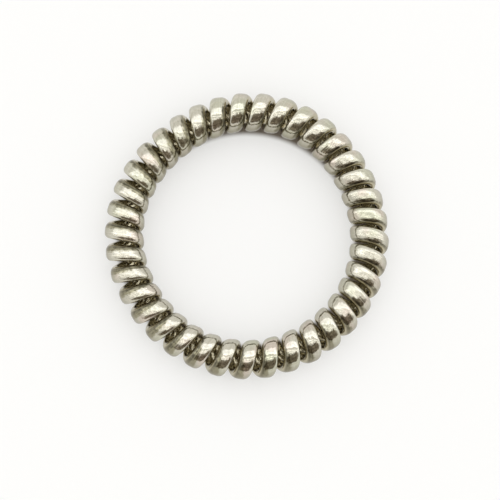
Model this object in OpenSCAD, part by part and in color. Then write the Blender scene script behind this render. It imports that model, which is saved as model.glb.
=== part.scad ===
/*
  Spiral hair tie: one strand of springy plastic wound into a coil,
  with its ends joined so that the coil closes into a ring.

  The strand is a flattened oval in section. Its broad, nearly flat face
  looks away from the coil's axis, so the turns show as smooth bands with
  narrow gaps between them. The turns nearly touch around the hole and fan
  out toward the rim. On one side of the ring they stand a little wider
  apart, and the ring is slightly out of round, as it stays after wear.

  Frame: millimetres, +Z up. The ring lies flat on z = 0 and the origin is
  the centre of the ring on that plane.
*/

/* [Ring] */

// outside diameter of the closed ring
ring_outer = 55; // [48:0.5:64]
// outside diameter of the coil that the strand is wound into
coil_d = 7.6; // [7:0.1:9.6]
// how far the rim lies outside a true circle where the ring is longest, and inside it at its narrowest
ring_bulge = 0.35; // [0:0.05:0.8]
// direction in which the ring is longest, seen from above
bulge_angle = 80; // [0:5:180]

/* [Strand] */

// width of the strand's outward face, along the ring
strand_w = 3.2; // [2.6:0.05:3.6]
// thickness of the strand, toward the coil's axis
strand_t = 2.1; // [1.8:0.05:2.7]
// squareness of the outward half of the section: 2 is an ellipse
face_squareness = 2.6; // [2:0.1:4]
// squareness of the half that faces the coil's axis
back_squareness = 2.3; // [2:0.1:4]
// tilt of the face across its width, its clockwise edge lower
roll_angle = 5; // [-10:1:10]

/* [Winding] */

// least room between neighbouring turns, on the side of the hole
turn_gap = 0.2; // [0.12:0.01:0.5]
// how far the turns lean along the ring, from the underside to the top
slump = 0.2; // [-0.6:0.1:0.6]
// share by which the turns stand wider apart on the stretched side
stretch_share = 0.024; // [0:0.004:0.12]
// share that gathers this stretch closer to the middle of that side
focus_share = 0.016; // [0:0.002:0.06]
// direction of the stretched side, seen from above
stretch_angle = 270; // [0:1:360]
// direction in which the winding starts, seen from above
start_angle = 2; // [0:0.5:360]

/* [Hidden] */

coil_colour = [0.72, 0.70, 0.62];

// most sections that the strand is drawn with, and the corners of each
section_count = 600;
corner_count = 10;
// coil angle of the first section, at the underside
first_angle = 270;
// share of the strand's width that its slant adds along the ring
slant_share = 0.02;

ring_r = (ring_outer - coil_d) / 2;
core_r = (coil_d - strand_t) / 2;
// radius at which neighbouring turns come closest, in the middle of the strand
snug_r = ring_r - core_r - ring_bulge;
// spacing of the turns where they are tightest, as a share of the average
tight_share = stretch_share < 4 * focus_share
    ? 1 - focus_share - stretch_share * stretch_share / (8 * focus_share)
    : 1 - stretch_share + focus_share;

// a corner of the strand's outline: first number along the ring, second away from the coil's axis
function corner_at(index) =
    let (
        angle = 90 + 360 * index / corner_count,
        power = 2 / (sin(angle) > 0 ? face_squareness : back_squareness),
        wide = strand_w / 2 * sign(cos(angle)) * pow(abs(cos(angle)), power),
        high = strand_t / 2 * sign(sin(angle)) * pow(abs(sin(angle)), power)
    )
    [wide * cos(roll_angle) - high * sin(roll_angle), wide * sin(roll_angle) + high * cos(roll_angle)];

outline = [for (index = [0 : corner_count - 1]) corner_at(index)];
outline_w = 2 * max([for (corner = outline) corner.x]);

turns = floor(2 * PI * snug_r * tight_share / (outline_w * (1 + slant_share) + turn_gap));
// sections in a turn, a multiple of four so that one lies at the top and one below
steps = 4 * floor(section_count / (4 * turns));
sections = turns * steps;
degrees = 180 / PI;

// direction in which the strand stands, from where an even winding would have it
function heading(even) =
    even + degrees * (stretch_share * sin(even - stretch_angle)
    + focus_share / 2 * sin(2 * (even - stretch_angle)));

// local spread of the turns, 1 on average
function spread(even) =
    1 + stretch_share * cos(even - stretch_angle)
    + focus_share * cos(2 * (even - stretch_angle));

// radius of the coil's axis in a direction
function axis_r(theta) = ring_r + ring_bulge * cos(2 * (theta - bulge_angle));

// a point of the strand's skin, at a section and a corner of the outline
function skin(section, corner) =
    let (
        even = start_angle + 360 * section / sections,
        phi = first_angle + 360 * section / steps,
        axis = axis_r(heading(even)),
        slant = atan((axis + core_r * cos(phi)) * spread(even) / (core_r * turns)),
        out = core_r + corner.y,
        across = axis + out * cos(phi) + corner.x * sin(slant) * sin(phi),
        along = corner.x * cos(slant),
        height = coil_d / 2 + out * sin(phi) - corner.x * sin(slant) * cos(phi),
        theta = heading(even) + degrees * slump / axis * (height / coil_d - 0.5)
    )
    [
        across * cos(theta) - along * sin(theta),
        across * sin(theta) + along * cos(theta),
        height,
    ];

// place of a point in the list of all points, the last section meeting the first
function at(section, corner) = (section % sections) * corner_count + corner % corner_count;

// the closed strand, swept turn by turn around the ring
module spiral_coil() {
    points = [
        for (section = [0 : sections - 1]) for (corner = outline) skin(section, corner)
    ];
    faces = [
        for (i = [0 : sections - 1]) for (j = [0 : corner_count - 1]) each [
            [at(i, j), at(i + 1, j), at(i + 1, j + 1)],
            [at(i, j), at(i + 1, j + 1), at(i, j + 1)],
        ],
    ];
    color(coil_colour)
        polyhedron(points = points, faces = faces, convexity = 40);
}

spiral_coil();
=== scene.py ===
import math

import bpy
import numpy as np
from mathutils import Matrix, Vector, noise


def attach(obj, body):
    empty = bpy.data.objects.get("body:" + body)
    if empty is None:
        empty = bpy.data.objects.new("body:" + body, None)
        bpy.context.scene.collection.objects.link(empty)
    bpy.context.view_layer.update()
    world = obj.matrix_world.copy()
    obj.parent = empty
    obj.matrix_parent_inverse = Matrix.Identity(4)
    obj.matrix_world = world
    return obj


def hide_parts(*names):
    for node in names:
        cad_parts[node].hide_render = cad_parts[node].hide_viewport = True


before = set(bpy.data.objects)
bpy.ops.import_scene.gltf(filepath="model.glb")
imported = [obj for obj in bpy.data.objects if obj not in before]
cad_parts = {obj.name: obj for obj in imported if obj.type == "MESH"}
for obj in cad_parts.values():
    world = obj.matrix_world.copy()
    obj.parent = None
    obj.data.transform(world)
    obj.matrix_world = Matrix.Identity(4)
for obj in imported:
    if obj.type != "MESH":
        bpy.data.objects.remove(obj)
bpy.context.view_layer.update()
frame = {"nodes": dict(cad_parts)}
mm = 0.001
black = (0.0, 0.0, 0.0, 1.0)
print("frame:", ", ".join(frame["nodes"]))


# shader sockets as Python values: arithmetic on a Shade adds Math nodes
class Shade:
    def __init__(self, tree, out):
        self.tree, self.out = tree, out

    def calc(self, operation, *values):
        return addNode(self.tree, "Math", {"operation": operation}, dict(enumerate(values)))

    def __add__(self, other):
        return self.calc("ADD", self, other)

    def __sub__(self, other):
        return self.calc("SUBTRACT", self, other)

    def __rsub__(self, other):
        return self.calc("SUBTRACT", other, self)

    def __mul__(self, other):
        return self.calc("MULTIPLY", self, other)

    def __truediv__(self, other):
        return self.calc("DIVIDE", self, other)

    def root(self):
        return self.calc("SQRT", self)

    def unsigned(self):
        return self.calc("ABSOLUTE", self)

    def least(self, low):
        return self.calc("MAXIMUM", self, low)

    def ramp(self, low, high):
        # 0 at low, 1 at high, smooth between
        return addNode(self.tree, "MapRange", {"interpolation_type": "SMOOTHSTEP"},
                       {0: self, 1: low, 2: high, 3: 0.0, 4: 1.0})


def addNode(tree, kind, settings=None, inputs=None, output=0):
    # settings are set first; an input is a number, a colour or a Shade
    node = tree.nodes.new("ShaderNode" + kind)
    for name, value in (settings or {}).items():
        setattr(node, name, value)
    for name, value in (inputs or {}).items():
        if isinstance(value, Shade):
            tree.links.new(value.out, node.inputs[name])
        else:
            node.inputs[name].default_value = value
    return Shade(tree, node.outputs[output])


def mixColour(tree, share, first, second):
    # inputs 6 and 7 of a colour Mix are its two colours, output 2 its result
    return addNode(tree, "Mix", {"data_type": "RGBA"}, {0: share, 6: first, 7: second}, 2)


def cloud(tree, place, scale, detail):
    # a soft noise around 0.5
    return addNode(tree, "TexNoise", inputs={"Vector": place, "Scale": scale, "Detail": detail})


def splitPlace(tree):
    # a point's place in metres, whole (output 3 is the object's own frame) and as x, y and z
    place = addNode(tree, "TexCoord", output=3)
    parts = addNode(tree, "SeparateXYZ", inputs={0: place}).out.node.outputs
    return place, *[Shade(tree, part) for part in parts]


def reach(x, y):
    # distance from the middle, seen from above
    return (x * x + y * y).root()


def span(value, low, high, soft):
    # 1 between low and high, with soft ends
    return value.ramp(low - soft, low + soft) * (1.0 - value.ramp(high - soft, high + soft))


def newMaterial(name, **sockets):
    material = bpy.data.materials.new(name)
    material.use_nodes = True
    shader = material.node_tree.nodes["Principled BSDF"]
    for socket, value in sockets.items():
        shader.inputs[socket.replace("_", " ")].default_value = value
    return material, material.node_tree, shader


def feed(tree, shader, socket, value):
    tree.links.new(value.out, shader.inputs[socket])


# the strand, wound turn by turn around the ring

tie = {
    "ringOuter": 55.0,       # lengths in millimetres, angles in degrees
    "coilD": 7.6,
    "strandW": 3.15,
    "strandT": 2.1,
    "turns": 37,
    "stretch": 0.024,        # share by which the turns spread on the stretched side
    "stretchFocus": 0.016,   # share that gathers this closer to the middle of that side
    "stretchSide": 270.0,
    "startSide": 2.0,        # direction in which the winding starts
    "firstAngle": 270.0,     # and its first angle around the coil, the underside
    "steps": 48,             # sections in a turn
    "corners": 44,           # points in a section
    "traceSteps": 3600,      # points that a section is traced with before they are spaced evenly
    "foreSquareness": 3.5,   # outward half of the section, counter-clockwise side: 2 is an ellipse
    "aftSquareness": 2.2,    # and clockwise side
    "backSquareness": 2.2,   # inward half
    "crown": 0.25,           # how much the outward face falls off toward its edges
    "dish": 0.09,            # depth of the hollow along its middle
    "dishSpread": 0.48,      # and its spread, as a share of half the width
    "roll": 5.0,             # turn of the strand's face, clockwise side down
    "slump": 0.2,            # how far the turns lean along the ring, from bottom to top
    # waves of the ring: how many, how high, toward which side
    "sway": ((2, 0.35, 80.0), (3, 0.15, -49.0), (4, 0.18, -10.0)),
    "lump": 0.03,            # unevenness of the strand's surface
    "lumpSize": 2.2,
}


def drawSection(size):
    # the strand cut across, with points evenly spaced: x along the ring, y outward
    around = np.linspace(0, 2 * math.pi, size["traceSteps"] + 1)
    ofFace = np.where(np.cos(around) > 0, size["foreSquareness"], size["aftSquareness"])
    power = 2 / np.where(np.sin(around) > 0, ofFace, size["backSquareness"])
    x = np.sign(np.cos(around)) * np.abs(np.cos(around)) ** power
    y = np.sign(np.sin(around)) * np.abs(np.sin(around)) ** power
    face = y > 0
    y = y * np.where(face, 1 - size["crown"] * x * x, 1.0) * size["strandT"] / 2
    y = y - np.where(face, size["dish"] * np.exp(-(x / size["dishSpread"]) ** 2), 0.0)
    x = x * size["strandW"] / 2
    run = np.concatenate([[0.0], np.cumsum(np.hypot(np.diff(x), np.diff(y)))])
    even = np.linspace(0, run[-1], size["corners"], endpoint=False)
    return np.interp(even, run, x)[None, :], np.interp(even, run, y)[None, :]


def windStrand(size):
    count = size["turns"] * size["steps"]
    step = np.arange(count)[:, None]
    even = np.radians(size["startSide"] + 360 * step / count)
    phi = np.radians(size["firstAngle"] + 360 * step / size["steps"])
    off = even - math.radians(size["stretchSide"])
    heading = even + size["stretch"] * np.sin(off) + size["stretchFocus"] / 2 * np.sin(2 * off)
    spread = 1 + size["stretch"] * np.cos(off) + size["stretchFocus"] * np.cos(2 * off)
    ringR = (size["ringOuter"] - size["coilD"]) / 2
    ringR = ringR + sum(high * np.cos(n * (heading - math.radians(side)))
                        for n, high, side in size["sway"])
    coreR = (size["coilD"] - size["strandT"]) / 2
    lean = np.arctan((ringR + coreR * np.cos(phi)) * spread / (coreR * size["turns"]))

    # each section stands across the strand, which slants along the ring
    x, y = drawSection(size)
    acrossFace, outward = x / size["strandW"] * 2, y / size["strandT"] * 2
    roll = math.radians(size["roll"])
    x, y = x * math.cos(roll) - y * math.sin(roll), x * math.sin(roll) + y * math.cos(roll)
    out = coreR + y
    across = ringR + out * np.cos(phi) + x * np.sin(lean) * np.sin(phi)
    along = x * np.cos(lean)
    z = size["coilD"] / 2 + out * np.sin(phi) - x * np.sin(lean) * np.cos(phi)
    heading = heading + size["slump"] / ringR * (z / size["coilD"] - 0.5)
    points = np.stack([
        across * np.cos(heading) - along * np.sin(heading),
        across * np.sin(heading) + along * np.cos(heading),
        z,
    ], axis=-1)
    return points, np.broadcast_to(acrossFace, z.shape), np.broadcast_to(outward, z.shape)


def roughen(points, size):
    # shifts each point along the skin's normal by a smooth noise
    alongStrand = np.roll(points, -1, axis=0) - np.roll(points, 1, axis=0)
    aroundStrand = np.roll(points, -1, axis=1) - np.roll(points, 1, axis=1)
    normal = np.cross(aroundStrand, alongStrand)
    normal /= np.linalg.norm(normal, axis=-1, keepdims=True)
    flat = points.reshape(-1, 3) / size["lumpSize"]
    height = np.array([noise.noise(Vector(p)) for p in flat]).reshape(points.shape[:2])
    return points + normal * (size["lump"] * height)[..., None]


def keepValues(mesh, name, values):
    # a value per point, for the finish
    layer = mesh.attributes.new(name, "FLOAT", "POINT")
    layer.data.foreach_set("value", np.ascontiguousarray(values, dtype=np.float32).ravel())


def makeTie(size):
    points, acrossFace, outward = windStrand(size)
    points = roughen(points, size)
    rows, columns = points.shape[:2]
    i, j = np.meshgrid(np.arange(rows), np.arange(columns), indexing="ij")
    up, right = (i + 1) % rows, (j + 1) % columns    # the last section meets the first
    quads = np.stack([
        i * columns + j, i * columns + right, up * columns + right, up * columns + j,
    ], axis=-1)
    mesh = bpy.data.meshes.new("spiralStrand")
    mesh.from_pydata((points.reshape(-1, 3) * mm).tolist(), [], quads.reshape(-1, 4).tolist())
    mesh.polygons.foreach_set("use_smooth", [True] * len(mesh.polygons))
    mesh.update()
    keepValues(mesh, "acrossFace", acrossFace)
    keepValues(mesh, "outward", outward)
    keepValues(mesh, "alongStrand", i / size["steps"])
    piece = bpy.data.objects.new("spiralStrand", mesh)
    bpy.context.scene.collection.objects.link(piece)
    return piece


strand = makeTie(tie)
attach(strand, "root")
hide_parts("spiral_coil")
print("strand:", len(strand.data.polygons), "faces")


# its plated finish

# a noise is its scale per metre and its detail; a span runs from none to all of its effect
plating = {
    "bright": (0.61, 0.585, 0.50, 1.0),       # champagne silver
    "green": (0.575, 0.572, 0.455, 1.0),
    "greenNoise": (150.0, 1.0),
    "greenSpan": (0.45, 0.70),
    "pink": (0.63, 0.56, 0.485, 1.0),
    "pinkNoise": (255.0, 1.0),
    "pinkSpan": (0.50, 0.72),
    "slantShade": (0.27, 0.25, 0.165, 1.0),       # painted shade on the clockwise side of the face
    "slantShadeDark": (0.075, 0.068, 0.042, 1.0),
    "slantShadeShare": 0.95,
    "slantShadeSpan": (0.42, 0.72),
    "slantShadeSide": (-5.0, 18.0),               # where it widens, in millimetres to the left
    "slantShadeGain": 0.38,                       # how much it widens there
    "slantShadeNear": 0.40,                       # and on the near side of the coil
    "darkWeights": (1.6, -0.55, -0.25),       # of raggedness, place across the face, place outward
    "darkSpan": (-0.12, 0.26),
    "rim": (0.25, 0.225, 0.155, 1.0),         # painted shade along the coil's sides, where they mirror the shaded floor
    "rimSpan": (-0.2, 0.9),                   # where it fades: 0 is half the coil's height, 1 its top or foot
    "inside": (0.50, 0.455, 0.33, 1.0),       # darker plating on the side that faces the coil's axis, with painted shade between the turns
    "flank": (0.20, 0.66),                    # where it fades toward the face
    "lopside": 0.10,                          # how much sooner it does so on the counter-clockwise side
    "rippleNoise": (1500.0, 1.0),             # ripples of the moulded surface
    "rippleHeight": 0.024 * mm,
    "grainNoise": (3000.0, 2.0),
    "grainHeight": 0.007 * mm,
    "streakLines": (7.0, 0.8),                # fine lines along the strand: how many across, how many in a turn
    "streakNoise": (1.0, 3.0),
    "streakHeight": 0.036 * mm,
    "ragged": 0.5,                            # how far streaks and ripples fray the painted shade's edges
    "grooveShade": (0.27, 0.25, 0.185, 1.0),         # painted shade along the lines, where streaks and ripples run low
    "grooveShadeShare": 0.22,
    "grooveShadeWeights": (0.6, 0.4),                # of streaks and ripples
    "grooveShadeSpan": (0.40, 0.58),
    "smooth": 0.08,                           # least and most roughness
    "dull": 0.18,
    "dullNoise": (600.0, 3.0),
    "dullSpan": (0.4, 0.8),
}


def plateStrand(look, size):
    material, tree, shader = newMaterial("platedChampagne", Metallic=1.0)
    place, x, y, z = splitPlace(tree)
    level = (z / (size["coilD"] * mm / 2) - 1.0).unsigned()
    x, y = x / mm, y / mm
    toLeft = x * -1.0
    # 1 on the near side of the coil, -1 on its far side
    fromRing = 1.0 - reach(x, y) / ((size["ringOuter"] - size["coilD"]) / 2)
    toNear = fromRing * y / (size["coilD"] - size["strandT"]) * 2
    across, outward, along = [addNode(tree, "Attribute", {"attribute_name": name}, output=2)
                              for name in ("acrossFace", "outward", "alongStrand")]

    ripple = cloud(tree, place, *look["rippleNoise"])
    grain = cloud(tree, place, *look["grainNoise"])
    linesAcross, linesAlong = look["streakLines"]
    lines = addNode(tree, "CombineXYZ", inputs={0: across * linesAcross, 1: along * linesAlong})
    streak = cloud(tree, lines, *look["streakNoise"])
    ragged = (streak + ripple - 1.0) * look["ragged"]    # around 0

    green = cloud(tree, place, *look["greenNoise"]).ramp(*look["greenSpan"])
    pink = cloud(tree, place, *look["pinkNoise"]).ramp(*look["pinkSpan"])
    colour = mixColour(tree, green, look["bright"], look["green"])
    colour = mixColour(tree, pink, colour, look["pink"])

    # painted shade on the clockwise side of each face, wider toward the ring's left and the coil's near side,
    # darkest near the gap
    slantShade = toLeft.ramp(*look["slantShadeSide"]) * look["slantShadeGain"] + toNear * look["slantShadeNear"]
    slantShade = (slantShade + ragged - across).ramp(*look["slantShadeSpan"])
    ofRagged, ofAcross, ofOutward = look["darkWeights"]
    dark = (ragged * ofRagged + across * ofAcross + outward * ofOutward).ramp(*look["darkSpan"])
    slantShadeColour = mixColour(tree, dark, look["slantShade"], look["slantShadeDark"])
    colour = mixColour(tree, slantShade * look["slantShadeShare"], colour, slantShadeColour)

    # painted shade: the coil's sides darker at half its height, where they mirror the shaded floor
    rim = 1.0 - level.ramp(*look["rimSpan"])
    # painted shade between the turns on the inner side and flanks, over darker plating there
    inside = 1.0 - (outward + across * look["lopside"]).ramp(*look["flank"])
    colour = mixColour(tree, rim, colour, look["rim"])
    colour = mixColour(tree, inside, colour, look["inside"])

    # painted shade in the grooves, where streaks and ripples run low
    ofStreak, ofRipple = look["grooveShadeWeights"]
    grooveShade = 1.0 - (streak * ofStreak + ripple * ofRipple).ramp(*look["grooveShadeSpan"])
    colour = mixColour(tree, grooveShade * look["grooveShadeShare"], colour, look["grooveShade"])

    relief = ripple * look["rippleHeight"] + grain * look["grainHeight"] + streak * look["streakHeight"]
    bump = addNode(tree, "Bump", inputs={"Strength": 1.0, "Distance": 1.0, "Height": relief})
    patches = cloud(tree, place, *look["dullNoise"]).ramp(*look["dullSpan"])
    rough = patches * (look["dull"] - look["smooth"]) + look["smooth"]
    feed(tree, shader, "Base Color", colour)
    feed(tree, shader, "Roughness", rough)
    feed(tree, shader, "Normal", bump)
    return material


strand.data.materials.append(plateStrand(plating, tie))
print("finish: plated champagne silver")


# floor, light and what the plating mirrors

# the room's own lengths are in metres; soft is how far a span's ends fade
room = {
    "floor": (0.50, 0.50, 0.497, 1.0),
    "floorHalf": 3.0,
    "floorRoughness": 0.8,
    "floorGlow": 0.465,                       # evens out the shade around the ring
    "glowColour": (1.0, 0.998, 0.985, 1.0),
    "floorShade": (0.24, 0.20, 0.155, 1.0),
    "shadeSpan": (20.9, 25.0),                # the part of the floor under the ring, millimetres from its middle
    "shadeSoft": 0.7,
    "sky": (1.0, 0.995, 0.98, 1.0),
    "skyStrength": 1.0,
    "domeRadius": 3.2,                        # the room as the plating mirrors it
    "domeRings": 24,
    "domeSides": 96,
    "air": (0.98, 0.97, 0.94, 1.0),
    "lowest": 0.05,                           # least height, as a sine, that slopes are taken with
    "asideLowest": 0.6,
    "middle": 0.02,                           # least distance from straight above, for directions
    "wanderNoise": (0.9, 3.0),
    "ragged": 0.24,                           # how far the noise shifts the shapes' edges
    "asideRagged": 4.0,                       # and how much more at their sides
    "window": (1.50, 1.51, 1.53, 1.0),
    "windowSpan": (0.20, 1.00),               # slopes toward the far side
    "windowSoft": 0.03,
    "windowEdge": (1.9, 2.2),                 # slopes to its sides, where it ends
    "glare": (2.3, 2.33, 2.42, 1.0),          # brighter patches in it
    "glareNoise": (1.8, 3.0),
    "glareSpan": (0.46, 0.60),
    "lamp": (2.6, 2.6, 2.5, 1.0),
    "lampSpans": ((-0.34, -0.27), (-0.11, -0.05), (0.19, 0.27)),
    "lampSoft": 0.02,
    "lampEdge": (1.6, 2.0),
    "person": (0.10, 0.078, 0.055, 1.0),
    "personLight": (0.46, 0.40, 0.31, 1.0),
    "personSpan": (0.46, 4.2),                # slopes away from straight above
    "personSoft": 0.10,
    "personWay": (0.17, -0.985),              # direction in which it stands
    "personEdge": (0.40, 0.62),
    "mottleNoise": (2.2, 2.0),
    "mottleSpan": (0.47, 0.62),
    "wall": (0.08, 0.075, 0.05, 1.0),
    "wallSpan": (0.25, 0.31),                 # sines of the heights between which it is dark
    "wallSoft": 0.012,
    "wallRagged": 0.03,
    "wallSide": (0.3, -0.8),                  # where it gains strength, from right to left
    "wallShare": 0.45,
}


def addStage(name, mesh, material):
    mesh.materials.append(material)
    thing = bpy.data.objects.new(name, mesh)
    bpy.context.scene.collection.objects.link(thing)
    return thing


def makeFloor(size):
    material, tree, shader = newMaterial("paleFloor", Roughness=size["floorRoughness"],
                                         Emission_Strength=size["floorGlow"])
    x, y = splitPlace(tree)[1:3]
    shade = span(reach(x / mm, y / mm), *size["shadeSpan"], size["shadeSoft"])
    feed(tree, shader, "Base Color", mixColour(tree, shade, size["floor"], size["floorShade"]))
    feed(tree, shader, "Emission Color", mixColour(tree, shade, size["glowColour"], black))
    mesh = bpy.data.meshes.new("floor")
    half = size["floorHalf"]
    corners = [(-half, -half, 0), (half, -half, 0), (half, half, 0), (-half, half, 0)]
    mesh.from_pydata(corners, [], [(0, 1, 2, 3)])
    addStage("floor", mesh, material)


def paintDome(size):
    material, tree, shader = newMaterial("mirroredRoom", Base_Color=black, Roughness=1.0,
                                         Emission_Strength=1.0)
    place, *parts = splitPlace(tree)
    x, y, z = [part / size["domeRadius"] for part in parts]
    wander = cloud(tree, place, *size["wanderNoise"]) - 0.5
    shift = wander * size["ragged"]
    upright = z.least(size["lowest"])
    ahead = y / upright + shift
    aside = x.unsigned() / z.least(size["asideLowest"]) + shift * size["asideRagged"]

    window = span(ahead, *size["windowSpan"], size["windowSoft"]) * (1.0 - aside.ramp(*size["windowEdge"]))
    glare = cloud(tree, place, *size["glareNoise"]).ramp(*size["glareSpan"])
    lamps = [span(ahead, low, high, size["lampSoft"]) for low, high in size["lampSpans"]]
    lamp = sum(lamps[1:], start=lamps[0]) * (1.0 - aside.ramp(*size["lampEdge"]))

    off = reach(x, y)
    wayX, wayY = size["personWay"]
    toPerson = (x * wayX + y * wayY) / off.least(size["middle"]) + shift
    person = span(off / upright + shift, *size["personSpan"], size["personSoft"])
    person = person * toPerson.ramp(*size["personEdge"])
    mottle = cloud(tree, place, *size["mottleNoise"]).ramp(*size["mottleSpan"])

    wall = span(z + wander * size["wallRagged"], *size["wallSpan"], size["wallSoft"])
    wall = wall * x.ramp(*size["wallSide"]) * size["wallShare"]

    colour = mixColour(tree, window, size["air"], mixColour(tree, glare, size["window"], size["glare"]))
    colour = mixColour(tree, lamp, colour, size["lamp"])
    colour = mixColour(tree, person, colour, mixColour(tree, mottle, size["person"], size["personLight"]))
    colour = mixColour(tree, wall, colour, size["wall"])
    feed(tree, shader, "Emission Color", colour)
    return material


def makeDome(size):
    # a half globe that only mirrored rays see
    rings, sides, radius = size["domeRings"], size["domeSides"], size["domeRadius"]
    points = []
    for i in range(rings):
        level, rise = math.cos(math.pi / 2 * i / rings), math.sin(math.pi / 2 * i / rings)
        for j in range(sides):
            turn = 2 * math.pi * j / sides
            points.append((math.cos(turn) * level * radius, math.sin(turn) * level * radius, rise * radius))
    points.append((0, 0, radius))

    def at(i, j):
        return i * sides + j % sides

    faces = [(at(i, j), at(i, j + 1), at(i + 1, j + 1), at(i + 1, j))
             for i in range(rings - 1) for j in range(sides)]
    faces += [(at(rings - 1, j), at(rings - 1, j + 1), rings * sides) for j in range(sides)]
    mesh = bpy.data.meshes.new("mirroredRoom")
    mesh.from_pydata(points, [], faces)
    dome = addStage("mirroredRoom", mesh, paintDome(size))
    dome.visible_camera = False
    dome.visible_diffuse = False
    dome.visible_shadow = False


def makeRoom(size):
    makeFloor(size)
    makeDome(size)
    world = bpy.data.worlds.new("paleRoom")
    world.use_nodes = True
    background = world.node_tree.nodes["Background"]
    background.inputs["Color"].default_value = size["sky"]
    background.inputs["Strength"].default_value = size["skyStrength"]
    bpy.context.scene.world = world
    bpy.context.scene.view_settings.view_transform = "Standard"


makeRoom(room)
print("room: floor and mirrored half globe")


# camera

shot = {
    "distance": 370.0,       # millimetres from the ring's middle
    "lensSide": -2.0,        # degrees from straight above, to the right
    "lensNear": 11.2,        # degrees from straight above, toward the near side
    "aim": (0.44, -2.95),    # what stands in the middle of the frame, millimetres
    "frameWidth": 95.9,      # millimetres across the frame at the ring
    "sensor": 36.0,          # millimetres
    "clip": (0.01, 50.0),    # metres
}


def placeCamera(view):
    near, side = math.radians(view["lensNear"]), math.radians(view["lensSide"])
    way = Vector((math.sin(side), -math.sin(near), 0.0))
    way.z = math.sqrt(1 - way.length_squared)
    middle = Vector((0, 0, tie["coilD"] / 2))
    spot = middle + way * view["distance"]
    target = Vector((*view["aim"], tie["coilD"] / 2))
    back = (spot - target).normalized()
    right = Vector((0, 1, 0)).cross(back).normalized()
    up = back.cross(right)
    lens = bpy.data.cameras.new("camera")
    lens.sensor_width = view["sensor"]
    lens.lens = lens.sensor_width * view["distance"] / view["frameWidth"]
    lens.clip_start, lens.clip_end = view["clip"]
    camera = bpy.data.objects.new("camera", lens)
    camera.matrix_world = Matrix.Translation(spot * mm) @ Matrix((right, up, back)).transposed().to_4x4()
    bpy.context.scene.collection.objects.link(camera)
    bpy.context.scene.camera = camera


placeCamera(shot)

bpy.context.view_layer.update()
